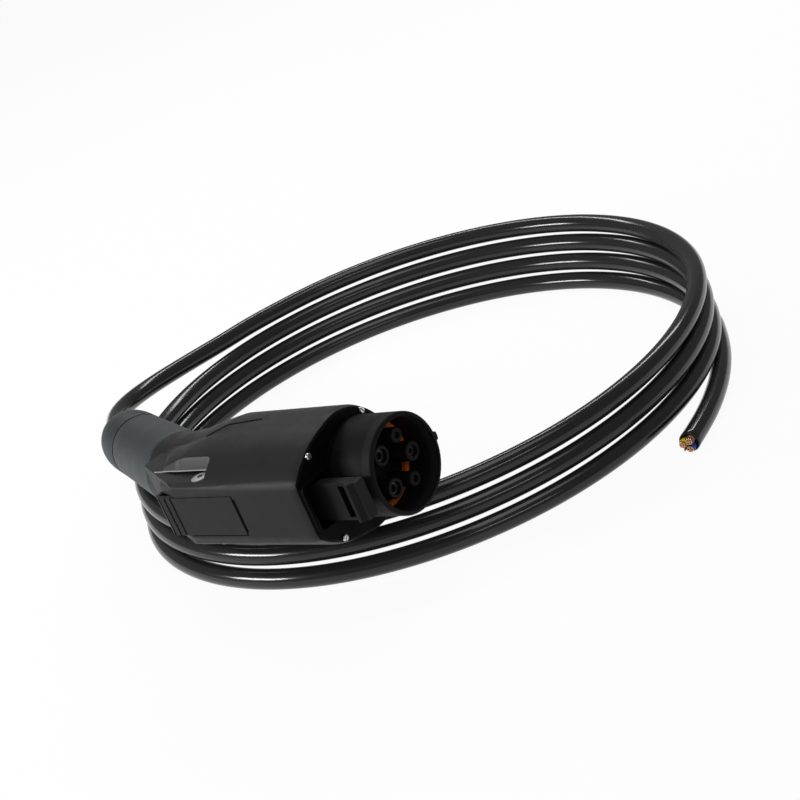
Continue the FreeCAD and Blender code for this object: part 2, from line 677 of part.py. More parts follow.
def cut_end():
    """Bare cores at the cut end: where each leaves the sheath, and its heading."""
    end = coil_frame_to_row(TAIL_POINTS[-1])
    heading = end - coil_frame_to_row(TAIL_POINTS[-2])
    heading.normalize()
    side = heading.cross(V(0, 0, 1))
    side.normalize()
    cores = {}
    for name, (angle, offset, radius) in CORES.items():
        across, up = polar(offset, angle)
        foot = end + side * across + V(0, 0, up)
        bare = foot + heading * CORE_OUT
        cores["core_" + name] = rod(radius, foot, bare)
        cores["copper_" + name] = rod(radius * COPPER_SHARE, bare, bare + heading * TIP_OUT)
    return cores


def main():
    left, right = shell_pair()
    nodes = {
        "shell_left": left,
        "shell_right": right,
        "front_housing": front_housing(),
        "contact_insert": contact_insert(),
        "seal_ring": seal_ring(),
        "latch_lever": latch_lever(),
        "release_button": release_button(),
        "latch_pin": rod(PIN_R, V(PIVOT_X, -PIN_HALF, PIVOT_Z), V(PIVOT_X, PIN_HALF, PIVOT_Z)),
        "latch_spring": latch_spring(),
        "micro_switch": micro_switch(),
        "plate_screws": plate_screws(),
        "case_screws": case_screws(),
        "hand_grip": hand_grip(),
        "end_collar": end_collar(),
    }
    for name, spec in CONTACTS.items():
        nodes[name] = contact(*spec)
    nodes = {name: laid(shape) for name, shape in nodes.items()}
    nodes["cable_lead"] = cord_tube(lead_points(), "cable_lead")
    nodes["cable_coil"] = coil_solid().transformed(COIL.toMatrix(), False)
    nodes["cable_tail"] = cord_tube(tail_points(), "cable_tail")
    nodes.update(cut_end())
    os.makedirs("parts", exist_ok=True)
    for name, shape in nodes.items():
        print(name, shape.isValid(), len(shape.Solids), round(shape.Volume, 1))
        shape.exportStep("parts/%s.step" % name)


main()
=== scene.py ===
"""Looks of the electric car charging cable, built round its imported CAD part."""

import logging
import math
from dataclasses import dataclass
from enum import Enum
from functools import cache, cached_property

import bmesh
import bpy
import numpy as np
from mathutils import Matrix, Vector
from mathutils.bvhtree import BVHTree


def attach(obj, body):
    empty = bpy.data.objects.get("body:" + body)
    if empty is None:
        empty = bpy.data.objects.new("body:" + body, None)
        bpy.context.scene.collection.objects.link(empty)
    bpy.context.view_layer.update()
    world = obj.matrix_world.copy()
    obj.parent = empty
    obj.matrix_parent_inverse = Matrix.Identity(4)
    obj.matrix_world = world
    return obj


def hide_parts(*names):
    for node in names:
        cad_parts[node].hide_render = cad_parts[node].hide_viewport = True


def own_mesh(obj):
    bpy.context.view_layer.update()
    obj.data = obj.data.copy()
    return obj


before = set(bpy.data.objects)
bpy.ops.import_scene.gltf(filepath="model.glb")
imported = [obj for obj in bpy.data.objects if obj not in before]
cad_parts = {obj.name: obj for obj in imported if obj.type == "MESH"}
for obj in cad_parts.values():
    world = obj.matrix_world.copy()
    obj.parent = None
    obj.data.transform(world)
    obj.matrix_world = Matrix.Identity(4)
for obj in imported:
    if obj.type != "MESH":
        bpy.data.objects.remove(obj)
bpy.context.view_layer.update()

Array = np.ndarray
Pair = tuple[float, float]
Point = tuple[float, float, float]
Colour = tuple[float, float, float]
Surface = tuple[Array, list]  # points in metres, and the point numbers of each face
Material = bpy.types.Material
Piece = bpy.types.Object
Socket = bpy.types.NodeSocket

MM = 0.001
POINT = 0.001  # the radius, in millimetres, at which a turned surface closes
TAU = 2.0 * math.pi
UP = (0.0, 0.0, 1.0)
LOG = logging.getLogger("charging_cable")


class Axis(Enum):
    """The three axes a thing can be turned about."""

    X, Y, Z = 0, 1, 2


def turn(axis: Axis, degrees: float) -> Array:
    """Rotation matrix about one axis.

    Args:
        axis: The axis to turn about.
        degrees: The angle, right-handed.

    Returns:
        A 3 by 3 matrix.
    """
    cosine, sine = math.cos(math.radians(degrees)), math.sin(math.radians(degrees))
    matrix = np.eye(3)
    first, second = [(1, 2), (2, 0), (0, 1)][axis.value]
    matrix[first, first] = matrix[second, second] = cosine
    matrix[first, second], matrix[second, first] = -sine, sine
    return matrix


@dataclass(frozen=True)
class Pose:
    """Where a drawing's own axes lie in the row frame, sizes in millimetres."""

    matrix: Array
    origin: Point = (0.0, 0.0, 0.0)

    def place(self, points: Array) -> Array:
        """Points of the drawing, in millimetres, as points of the row frame, in metres."""
        return (np.asarray(points, float) @ self.matrix.T + np.array(self.origin)) * MM

    def heading(self, direction: Point) -> Array:
        """A direction of the drawing in the row frame."""
        return np.asarray(direction, float) @ self.matrix.T

    def drawn(self, points: Array) -> Array:
        """Points of the row frame, in metres, as points of the drawing, in millimetres."""
        return (np.asarray(points, float) / MM - np.array(self.origin)) @ self.matrix

    def child(self, axes: Array, origin: Point) -> "Pose":
        """The pose of a smaller drawing, whose axes, as columns, and origin this one gives."""
        return Pose(self.matrix @ axes, tuple(self.heading(origin) + np.array(self.origin)))


COUPLER_POSE = Pose(turn(Axis.Y, -5.41) @ turn(Axis.X, 88.09))
COIL_POSE = Pose(turn(Axis.Z, 45.1), (-125.2, 153.7, -71.3))


def unit(vectors: Array) -> Array:
    """Each row of vectors at length one."""
    return vectors / np.linalg.norm(vectors, axis=-1, keepdims=True)


def lathe(stations: Array, radii: Array, sides: int) -> Array:
    """Points of a surface turned round the X axis, ring by ring.

    Each is (the station, the radius times cosine of the angle, the radius times its sine).

    Args:
        stations: Distance of each ring along the axis.
        radii: The radius of each ring.
        sides: Points in a ring.

    Returns:
        One row for each point.
    """
    angle = np.linspace(0.0, TAU, sides, endpoint=False)
    ring = np.stack([np.ones(sides), np.cos(angle), np.sin(angle)], axis=-1)
    return (np.stack([stations, radii, radii], axis=-1)[:, None] * ring).reshape(-1, 3)


def grid_faces(rows: int, columns: int, wrap_rows: bool = False) -> list:
    """Quads of a grid whose columns close on themselves.

    Args:
        rows: Number of rings.
        columns: Number of points round each ring.
        wrap_rows: Whether the last ring joins the first.

    Returns:
        Four point numbers for each quad, numbered ring by ring.
    """
    row, column = np.meshgrid(np.arange(rows if wrap_rows else rows - 1), np.arange(columns), indexing="ij")
    near, far, beside = row * columns, (row + 1) % rows * columns, (column + 1) % columns
    corners = [near + column, near + beside, far + beside, far + column]
    return np.stack(corners, axis=-1).reshape(-1, 4).tolist()


def tube_faces(rows: int, columns: int) -> list:
    """Quads of an open tube, and one face at each end."""
    last = (rows - 1) * columns
    return [*grid_faces(rows, columns), list(range(columns)), list(range(last, last + columns))]


def joined(parts: list[Surface]) -> Surface:
    """Several closed surfaces as one, the point numbers counted on from each to the next."""
    starts = np.cumsum([0] + [len(points) for points, _faces in parts]).tolist()
    faces = [[p + shift for p in face] for (_points, own), shift in zip(parts, starts) for face in own]
    return np.concatenate([points for points, _faces in parts]), faces


def add_object(name: str, data: bpy.types.ID) -> Piece:
    """A new object with that data, linked to the scene."""
    made = bpy.data.objects.new(name, data)
    bpy.context.scene.collection.objects.link(made)
    return made


def stand(thing: Piece, right: Point, up: Point, back: Point, place: Point) -> None:
    """Puts a camera or a lamp at a place, its own X, Y and Z along three directions."""
    matrix = np.eye(4)
    matrix[:3] = np.column_stack([right, up, back, place])
    thing.matrix_world = Matrix(matrix.tolist())


def mesh_object(name: str, points: Array, faces: list) -> Piece:
    """A smooth-shaded mesh object at the origin.

    Args:
        name: The piece's name.
        points: One row for each point, in metres.
        faces: Point numbers of each face.

    Returns:
        The new object, its faces pointing outwards.
    """
    mesh = bpy.data.meshes.new(name)
    mesh.from_pydata(points.tolist(), [], faces)
    work = bmesh.new()
    work.from_mesh(mesh)
    bmesh.ops.recalc_face_normals(work, faces=work.faces)
    work.to_mesh(mesh)
    work.free()
    mesh.polygons.foreach_set("use_smooth", [True] * len(mesh.polygons))
    return add_object(name, mesh)


def swept(line: Array, radius: float, sides: int, tip: Array) -> tuple[Array, Array]:
    """A round surface round a line, with shaped rings at its far end.

    Each point is the line's point plus the radius there times (cosine of the angle times the side
    vector plus sine of the angle times the up vector). The side vector is level, across the line's
    heading, and the up vector is across both. The tip's rings keep the last ring's vectors.

    Args:
        line: Centre points, in metres.
        radius: The radius, in metres.
        sides: Number of points round.
        tip: How far past the last point each extra ring lies, and its radius, in metres.

    Returns:
        The surface's points, ring by ring, and the distance along the line of each ring.
    """
    heading = unit(np.gradient(line, axis=0))
    side = unit(np.cross(heading, UP))
    up = np.cross(side, heading)
    order = np.concatenate([np.arange(len(line)), np.full(len(tip), len(line) - 1)])
    centre = line[order]
    centre[len(line):] += tip[:, :1] * heading[-1]
    radii = np.concatenate([np.full(len(line), radius), tip[:, 1]])
    angle = np.linspace(0.0, TAU, sides, endpoint=False)[None, :, None]
    ring = np.cos(angle) * side[order, None] + np.sin(angle) * up[order, None]
    points = centre[:, None] + ring * radii[:, None, None]
    along = np.concatenate([[0.0], np.cumsum(np.linalg.norm(np.diff(centre, axis=0), axis=1))])
    return points.reshape(-1, 3), along


class Nodes:
    """A material's node tree with one Principled shader, and short ways to add to it."""

    def __init__(self, name: str) -> None:
        """Starts a material of that name."""
        self.material = bpy.data.materials.new(name)
        self.material.use_nodes = True
        self.tree = self.material.node_tree
        self.shader = self.tree.nodes["Principled BSDF"]

    @cached_property
    def places(self) -> bpy.types.Node:
        """The node that gives a point's place on its piece."""
        return self.add("TexCoord")

    def feed(self, socket: Socket, value: object) -> None:
        """Links an output to an input socket, or sets its value, which is opaque for a colour."""
        if isinstance(value, Socket):
            self.tree.links.new(value, socket)
        else:
            socket.default_value = (*value, 1.0) if socket.type == "RGBA" else value

    def add(self, kind: str, inputs: dict | None = None, **settings: object) -> bpy.types.Node:
        """Adds a node.

        Args:
            kind: Blender's name for the node's type, after ShaderNode.
            inputs: What its input sockets are fed with, by their names or numbers.
            settings: The node's own properties.

        Returns:
            The node.
        """
        node = self.tree.nodes.new("ShaderNode" + kind)
        for key, value in settings.items():
            setattr(node, key, value)
        for key, value in (inputs or {}).items():
            self.feed(node.inputs[key], value)
        return node

    def set(self, **values: object) -> None:
        """Feeds sockets of the shader, with underscores for the spaces in their names."""
        for key, value in values.items():
            self.feed(self.shader.inputs[key.replace("_", " ")], value)

    def scaled(self, places: str, scale: Point) -> Socket:
        """Object or UV coordinates, scaled along each axis."""
        inputs = {"Vector": self.places.outputs[places], "Scale": scale}
        return self.add("Mapping", inputs).outputs["Vector"]

    def noise(self, scale: float, detail: float, at: Socket | None = None, **settings: object) -> Socket:
        """A noise, by its lumps in a metre and its octaves, in Object or other coordinates."""
        inputs = {"Vector": at or self.places.outputs["Object"], "Scale": scale, "Detail": detail}
        return self.add("TexNoise", inputs, **settings).outputs["Fac"]

    def ramp(self, value: Socket, low: float = 0.0, high: float = 1.0) -> Socket:
        """A value from a quarter to three quarters of its range, stretched from low to high."""
        inputs = {"Value": value, "From Min": 0.25, "From Max": 0.75, "To Min": low, "To Max": high}
        return self.add("MapRange", inputs).outputs["Result"]

    def step(self, value: Socket, first: float, last: float) -> Socket:
        """Nought below first, one above last, and a smooth rise between."""
        inputs = {"Value": value, "From Min": first, "From Max": last}
        return self.add("MapRange", inputs, interpolation_type="SMOOTHSTEP").outputs["Result"]

    def blend(self, share: Socket, first: Colour | Socket, second: Colour | Socket) -> Socket:
        """A colour between two, by a share."""
        inputs = {"Factor": share, 6: first, 7: second}
        return self.add("Mix", inputs, data_type="RGBA").outputs[2]

    def along(self, heading: Array) -> Socket:
        """Distance of a point from the frame's origin along a heading, in metres."""
        inputs = {0: self.places.outputs["Object"], 1: tuple(heading)}
        return self.add("VectorMath", inputs, operation="DOT_PRODUCT").outputs["Value"]

    def maths(self, operation: str, first: Socket, second: Socket | float, **settings: object) -> Socket:
        """One step of arithmetic on two values."""
        inputs = {0: first, 1: second}
        return self.add("Math", inputs, operation=operation, **settings).outputs["Value"]

    def bump(self, height: Socket, depth: float) -> None:
        """Bumps the shader's surface, by metres from the relief's lowest value to its highest."""
        node = self.add("Bump", {"Height": height, "Strength": 1.0, "Distance": depth})
        self.set(Normal=node.outputs["Normal"])

    def clouds(self) -> Socket:
        """The share of the second tone in the faint clouds of moulded plastic."""
        return self.ramp(self.noise(35.0, 4.0))

    def moulded(self, roughness: Pair, specular: float, grain: float = 2600.0) -> None:
        """Gives the shader moulded plastic's uneven gloss and its fine grain, in grains a metre."""
        self.set(Roughness=self.ramp(self.noise(160.0, 5.0), *roughness), Specular_IOR_Level=specular)
        self.bump(self.noise(grain, 2.0), 0.00003)


def toned(colour: Colour, share: float) -> Colour:
    """A colour made lighter or darker."""
    return tuple(share * part for part in colour)


@dataclass(frozen=True)
class Look:
    """What every finish has: a name, two tones, and a way to feed its shader."""

    name: str
    colour: Colour
    second: Colour | None

    def build(self) -> Material:
        """Makes the finish.

        Returns:
            The material.
        """
        nodes = Nodes(self.name)
        self.paint(nodes)
        return nodes.material

    def paint(self, nodes: Nodes) -> None:
        """Feeds the shader."""
        raise NotImplementedError


@dataclass(frozen=True)
class Plastic(Look):
    """Spark-eroded moulded plastic: fine grain, faint cloudy tone, uneven gloss."""

    roughness: Pair
    specular: float = 0.3
    grain_per_metre: float = 2600.0

    def paint(self, nodes: Nodes) -> None:
        """Feeds the shader."""
        nodes.set(Base_Color=nodes.blend(nodes.clouds(), self.colour, self.second))
        nodes.moulded(self.roughness, self.specular, self.grain_per_metre)


@dataclass(frozen=True)
class FrontMoulding(Look):
    """Nose and plate: the plate's dark tone is painted shade; a painted highlight band behind the mouth."""

    nose: tuple[Colour, Colour]
    roughness: Pair
    specular: float
    plate_edge: Pair = (-0.0232, -0.0226)
    # Where the painted highlight band starts and stops along the nose's axis, in metres.
    highlight_start: Pair = (-0.0056, -0.0048)
    highlight_stop: Pair = (-0.0012, -0.0008)

    def paint(self, nodes: Nodes) -> None:
        """Feeds the shader, laid out along the nose's axis.

        Args:
            nodes: The material's nodes.
        """
        along = nodes.along(COUPLER_POSE.heading((1.0, 0.0, 0.0)))
        cloud = nodes.clouds()
        # The plate's tone is painted shade: several times darker than the nose of the same moulding.
        plate = nodes.blend(cloud, self.colour, toned(self.colour, 1.4))
        # The second tone is a painted highlight, lighter just behind the mouth.
        painted_highlight = nodes.blend(cloud, self.second, toned(self.second, 0.8))
        started, stopped = nodes.step(along, *self.highlight_start), nodes.step(along, *self.highlight_stop)
        base = nodes.blend(nodes.step(along, *self.plate_edge), plate, nodes.blend(cloud, *self.nose))
        highlight_share = nodes.maths("SUBTRACT", started, stopped, use_clamp=True)
        nodes.set(Base_Color=nodes.blend(highlight_share, base, painted_highlight))
        nodes.moulded(self.roughness, self.specular)


@dataclass(frozen=True)
class SoftRubber(Look):
    """Soft grip cover: fine pebbled skin, a little sheen and handling marks."""

    shine: Colour = (0.8, 0.93, 1.0)
    specular: float = 0.42
    roughness: Pair = (0.5, 0.6)
    pebbles_per_metre: float = 1500.0

    def paint(self, nodes: Nodes) -> None:
        """Feeds the shader.

        Args:
            nodes: The material's nodes.
        """
        marks = nodes.noise(60.0, 6.0, nodes.scaled("Object", (1.0, 1.0, 0.6)))
        nodes.set(
            Base_Color=nodes.blend(nodes.ramp(marks), self.colour, self.second),
            Roughness=nodes.ramp(nodes.noise(110.0, 4.0), *self.roughness),
            Specular_IOR_Level=self.specular, Specular_Tint=self.shine,
        )
        inputs = {"Vector": nodes.places.outputs["Object"], "Scale": self.pebbles_per_metre}
        pebbles = nodes.add("TexVoronoi", inputs, feature="SMOOTH_F1")
        nodes.bump(pebbles.outputs["Distance"], 0.00004)


@dataclass(frozen=True)
class CableJacket(Look):
    """Extruded black jacket: glossy, with long faint waves in its gloss."""

    roughness: Pair = (0.14, 0.17)
    specular: float = 0.36
    waves: Point = (80.0, 4.0, 1.0)

    def paint(self, nodes: Nodes) -> None:
        """Feeds the shader, which reads the piece's own map: around and along, in metres."""
        drag = nodes.noise(1.0, 2.0, nodes.scaled("UV", self.waves), noise_dimensions="2D")
        nodes.set(
            Base_Color=nodes.blend(nodes.ramp(nodes.noise(20.0, 2.0)), self.colour, self.second),
            Roughness=nodes.ramp(drag, *self.roughness), Specular_IOR_Level=self.specular,
        )


@dataclass(frozen=True)
class Metal(Look):
    """A metal with fine marks."""

    roughness: Pair
    marks_per_metre: float = 900.0

    def paint(self, nodes: Nodes) -> None:
        """Feeds the shader.

        Args:
            nodes: The material's nodes.
        """
        marks = nodes.noise(self.marks_per_metre, 4.0)
        nodes.set(
            Base_Color=nodes.blend(nodes.ramp(marks), self.colour, self.second),
            Roughness=nodes.ramp(marks, *self.roughness), Metallic=1.0,
        )
        nodes.bump(nodes.noise(self.marks_per_metre * 3.0, 2.0), 0.000003)


@dataclass(frozen=True)
class CoreSleeve(Look):
    """Coloured insulation of a core, with a lengthwise stripe where it has a second colour."""

    roughness: Pair = (0.3, 0.42)
    stripe_edge: Pair = (0.13, 0.15)

    def paint(self, nodes: Nodes) -> None:
        """Feeds the shader, which reads the piece's own map: around, in turns, and along.

        Args:
            nodes: The material's nodes.
        """
        if self.second is None:
            shade = nodes.ramp(nodes.noise(500.0, 3.0), 0.0, 0.35)
            colour = nodes.blend(shade, self.colour, toned(self.colour, 0.6))
        else:
            split = nodes.add("SeparateXYZ", {"Vector": nodes.places.outputs["UV"]})
            wave = nodes.maths("PINGPONG", split.outputs["X"], 0.5)
            colour = nodes.blend(nodes.step(wave, *self.stripe_edge), self.second, self.colour)
        gloss = nodes.ramp(nodes.noise(300.0, 2.0), *self.roughness)
        nodes.set(Base_Color=colour, Roughness=gloss, Specular_IOR_Level=0.5)
        nodes.bump(nodes.noise(1800.0, 2.0), 0.00002)


class Finish(Enum):
    """Every finish on the cable and its coupler."""

    SHELL = Plastic("shell_plastic", (0.0085, 0.0085, 0.0087), (0.0115, 0.0115, 0.0117), (0.46, 0.57), 0.19)
    # Notch walls: the shell plastic made lighter, painted light on the lit wall.
    NOTCH = Plastic("notch_plastic", (0.012, 0.012, 0.0122), (0.015, 0.015, 0.0152), (0.36, 0.44), 0.35)
    # Pale grey on black plastic: a painted highlight along the notch lip.
    BEAD_HIGHLIGHT = Plastic("bead_painted_highlight", (0.3, 0.3, 0.3), (0.36, 0.36, 0.36), (0.3, 0.4), 0.6)
    # Front moulding: its plate tone is painted shade, its lighter second tone a painted highlight behind
    # the mouth.
    FRONT = FrontMoulding(
        "front_plastic", (0.0016, 0.0016, 0.0017), (0.014, 0.014, 0.0143),
        ((0.006, 0.006, 0.0062), (0.0085, 0.0085, 0.0087)), (0.5, 0.64), 0.06,
    )
    LATCH = Plastic("latch_plastic", (0.0055, 0.0055, 0.0057), (0.0075, 0.0075, 0.0077), (0.5, 0.62), 0.14)
    INSERT = Plastic("insert_plastic", (0.004, 0.004, 0.004), (0.007, 0.007, 0.007), (0.5, 0.65), 0.1)
    # Near-black: painted shade of the slit and the flank's panel lines.
    SEAM_SHADE = Plastic("seam_painted_shade", (0.0008, 0.0008, 0.0008), (0.0014, 0.0014, 0.0014), (0.7, 0.85), 0.04)
    SWITCH = Plastic("switch_plastic", (0.02, 0.018, 0.015), (0.03, 0.027, 0.022), (0.4, 0.5))
    SEAL = Plastic("seal_rubber", (0.62, 0.125, 0.008), (0.72, 0.15, 0.01), (0.55, 0.7), 0.35, 1400.0)
    GRIP = SoftRubber("grip_rubber", (0.02, 0.0222, 0.023), (0.026, 0.0288, 0.0298))
    COLLAR = SoftRubber("collar_rubber", (0.018, 0.0203, 0.0212), (0.0235, 0.0265, 0.0276))
    CABLE = CableJacket("cable_jacket", (0.0145, 0.0146, 0.0156), (0.0195, 0.0195, 0.0202))
    STEEL = Metal("screw_steel", (0.6, 0.59, 0.58), (0.5, 0.49, 0.48), (0.26, 0.36))
    WASHER = Metal("washer_steel", (0.42, 0.415, 0.41), (0.36, 0.355, 0.35), (0.55, 0.62), 400.0)
    # Near-black metal: painted shade inside the screws' shallow sockets.
    SOCKET_SHADE = Metal("screw_socket_painted_shade", (0.05, 0.05, 0.05), (0.03, 0.03, 0.03), (0.5, 0.6))
    # Contact metal painted far darker than tin: painted shade for contacts set deep in their towers.
    TIN = Metal("contact_tin", (0.16, 0.155, 0.15), (0.1, 0.096, 0.092), (0.42, 0.52))
    COPPER = Metal("bare_copper", (0.95, 0.62, 0.42), (0.8, 0.46, 0.28), (0.2, 0.32), 1500.0)
    EARTH_CORE = CoreSleeve("earth_sleeve", (0.9, 0.8, 0.02), (0.05, 0.3, 0.03))
    LINE_CORE = CoreSleeve("line_sleeve", (0.3, 0.14, 0.075), None)
    NEUTRAL_CORE = CoreSleeve("neutral_sleeve", (0.02, 0.12, 0.6), None)
    CONTROL_CORE = CoreSleeve("control_sleeve", (0.45, 0.05, 0.03), None)

    @cache
    def material(self) -> Material:
        """The finish as a material, built on first use."""
        return self.value.build()


def dress(piece: Piece, finish: Finish) -> None:
    """Gives a piece one finish."""
    piece.data.materials.clear()
    piece.data.materials.append(finish.material())


def declare(piece: Piece, finish: Finish, slot: str, *nodes: str, body: str = "coupler") -> None:
    """Dresses a new piece, puts it on its body and hides the CAD nodes that it replaces.

    Args:
        piece: The mesh object.
        finish: Its finish.
        slot: Not used.
        nodes: The CAD nodes that it replaces, if any.
        body: The body that it rides on.
    """
    dress(piece, finish)
    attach(piece, body)
    if nodes:
        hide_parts(*nodes)


def fixed_piece(name: str, surface: Surface, finish: Finish, slot: str, *nodes: str) -> Piece:
    """A new mesh object, dressed, put on the coupler's body, the nodes it replaces hidden."""
    piece = mesh_object(name, *surface)
    declare(piece, finish, slot, *nodes)
    return piece


def tube_map(mesh: bpy.types.Mesh, columns: int, around: float, along: Array) -> None:
    """Gives a tube its own map: round each ring from nought to a length, and the way along.

    Args:
        mesh: A mesh whose points are rings of that many columns.
        columns: Points in a ring.
        around: The first coordinate's value after a full ring.
        along: The second coordinate of each ring.
    """
    numbers = np.zeros(len(mesh.loops), np.int32)
    mesh.loops.foreach_get("vertex_index", numbers)
    column = (numbers % columns).astype(float)
    starts, totals = np.zeros((2, len(mesh.polygons)), np.int32)
    mesh.polygons.foreach_get("loop_start", starts)
    mesh.polygons.foreach_get("loop_total", totals)
    owner = np.repeat(np.arange(len(starts)), totals)
    highest = np.maximum.reduceat(column, starts)[owner]
    column[(highest == columns - 1) & (column == 0) & (totals[owner] == 4)] = columns
    pairs = np.stack([column / columns * around, np.asarray(along)[numbers // columns]], axis=-1)
    mesh.uv_layers.new(name="UVMap").data.foreach_set("uv", pairs.astype(np.float32).ravel())


@dataclass(frozen=True)
class PhotoCamera:
    """The camera fitted to the photograph, its focal length in widths of the picture."""

    place: Point = (0.4534, -0.4429, 0.3107)
    right: Point = (0.76231, 0.561221, -0.322358)
    up: Point = (-0.020748, 0.519007, 0.854518)
    back: Point = (0.646879, -0.644719, 0.407289)
    focal_widths: float = 1698.97 / 800.0
    sensor: float = 36.0
    clip: Pair = (0.02, 50.0)

    def build(self) -> None:
        """Makes the camera and looks through it."""
        data = bpy.data.cameras.new("photo_camera")
        data.sensor_fit = "HORIZONTAL"
        data.sensor_width = self.sensor
        data.lens = self.focal_widths * self.sensor
        data.clip_start, data.clip_end = self.clip
        camera = add_object("photo_camera", data)
        stand(camera, self.right, self.up, self.back, self.place)
        bpy.context.scene.camera = camera


@dataclass
class GripAxis:
    """The line down the middle of the bent grip."""

    bend_x: float = -139.0
    bend_degrees: float = 23.8
    bend_radius: float = 45.0
    length: float = 108.0

    def pose(self) -> Pose:
        """The grip's own drawing: X back along the axis from the bend's corner, and Y across."""
        axes = turn(Axis.Y, -self.bend_degrees) * (-1.0, 1.0, 1.0)
        return COUPLER_POSE.child(axes, (self.bend_x, 0.0, 0.0))

    def start(self) -> float:
        """Distance behind the bend's corner at which the axis has become straight."""
        return self.bend_radius * math.tan(math.radians(self.bend_degrees) / 2.0)

    def at(self, distance: list | float) -> Array:
        """Points on the axis that far behind the bend's corner, in the row frame."""
        return self.pose().place(np.multiply.outer(distance, (1.0, 0.0, 0.0)))


GRIP = GripAxis()


@dataclass
class ChargingLead:
    """The cable: out of the collar, three and a half leaning turns, and the tail to its cut end."""

    diameter: float = 10.0
    inside: float = 17.0
    straight: float = 14.0
    lead: tuple[Point, ...] = (
        (-164.6, 41.0, 43.3), (-158.5, 64.0, 40.3), (-145.0, 83.5, 37.8), (-125.5, 100.0, 36.2),
        (-101.0, 114.5, 35.6),
    )
    tail: tuple[Point, ...] = (
        (149.6, -50.0, 5.0), (144.4, -71.0, 5.0), (136.2, -93.0, 5.0), (125.2, -114.5, 5.0),
        (113.0, -133.0, 5.0), (103.4, -145.0, 5.0),
    )
    across: float = 154.4
    deep: float = 147.5
    lean: Pair = (0.67, 5.58)
    layer: float = 10.2
    turns: float = 3.5
    start: float = 1.05
    past: float = 0.05
    points_per_turn: int = 20
    cut_in: float = 1.0125
    sides: int = 32
    step: float = 3.0
    cut_rim: tuple[Pair, ...] = ((0.2, 4.88), (0.28, 4.7), (0.28, 4.44), (-1.0, 4.4))

    def wound(self) -> Array:
        """Control points of the turns, in the coil's drawing.

        With t the angle from the coil's left side, a point is (minus the half width times cosine
        t, the half depth times sine t) less the lean times t over a full turn. It lies half a
        diameter above the floor plus a layer for each turn still under it, and sinks a layer in a
        smooth step over the front half of each turn. The half sizes are a little large, as the
        spline cuts corners.

        Returns:
            One row for each point, in millimetres.
        """
        end = TAU * self.turns + self.past
        t = np.linspace(self.start, end, round((end - self.start) / TAU * self.points_per_turn) + 1)
        share = np.clip((t - math.pi) / math.pi - 2.0 * np.arange(int(self.turns))[:, None], 0.0, 1.0)
        level = self.turns - 0.5 - (share * share * (3.0 - 2.0 * share)).sum(axis=0)
        return np.stack([
            -self.across * self.cut_in * np.cos(t) - self.lean[0] * t / TAU,
            self.deep * self.cut_in * np.sin(t) - self.lean[1] * t / TAU,
            self.diameter / 2.0 + self.layer * level,
        ], axis=-1)

    def centreline(self) -> Array:
        """Evenly spaced points of a spline down the grip's axis, round the turns and along the tail.

        Returns:
            Points in the row frame, in metres.
        """
        leaving = GRIP.at([GRIP.length - self.inside, GRIP.length + self.straight])
        control = np.concatenate([leaving, COIL_POSE.place([*self.lead, *self.wound(), *self.tail])])
        data = bpy.data.curves.new("cable_route", "CURVE")
        data.dimensions = "3D"
        spline = data.splines.new("NURBS")
        spline.points.add(len(control) - 1)
        spline.points.foreach_set("co", np.column_stack([control, np.ones(len(control))]).ravel())
        spline.order_u = 3
        spline.use_endpoint_u = True
        data.resolution_u = 16
        holder = add_object("cable_route", data)
        bpy.context.view_layer.update()
        drawn = bpy.data.meshes.new_from_object(holder)
        points = np.array([vertex.co for vertex in drawn.vertices], float)
        bpy.data.objects.remove(holder)
        bpy.data.curves.remove(data)
        bpy.data.meshes.remove(drawn)
        travelled = np.concatenate([[0.0], np.cumsum(np.linalg.norm(np.diff(points, axis=0), axis=1))])
        even = np.linspace(0.0, travelled[-1], int(travelled[-1] / (self.step * MM)) + 1)
        return np.stack([np.interp(even, travelled, column) for column in points.T], axis=-1)

    def build(self) -> None:
        line = self.centreline()
        radius = self.diameter / 2.0 * MM
        points, along = swept(line, radius, self.sides, np.array(self.cut_rim) * MM)
        surface = points, tube_faces(len(along), self.sides)
        replaced = "cable_lead", "cable_coil", "cable_tail"
        jacket = fixed_piece("cable_jacket", surface, Finish.CABLE, "cable", *replaced)
        tube_map(jacket.data, self.sides, TAU * radius, along)
        tuple(GRIP.at(GRIP.length))


@dataclass(frozen=True)
class Core:
    """One core of the cable: how it lies in the cut, its sizes and its finish."""

    node: str
    degrees: float
    offset: float
    radius: float
    rings: int
    finish: Finish
    slot: str


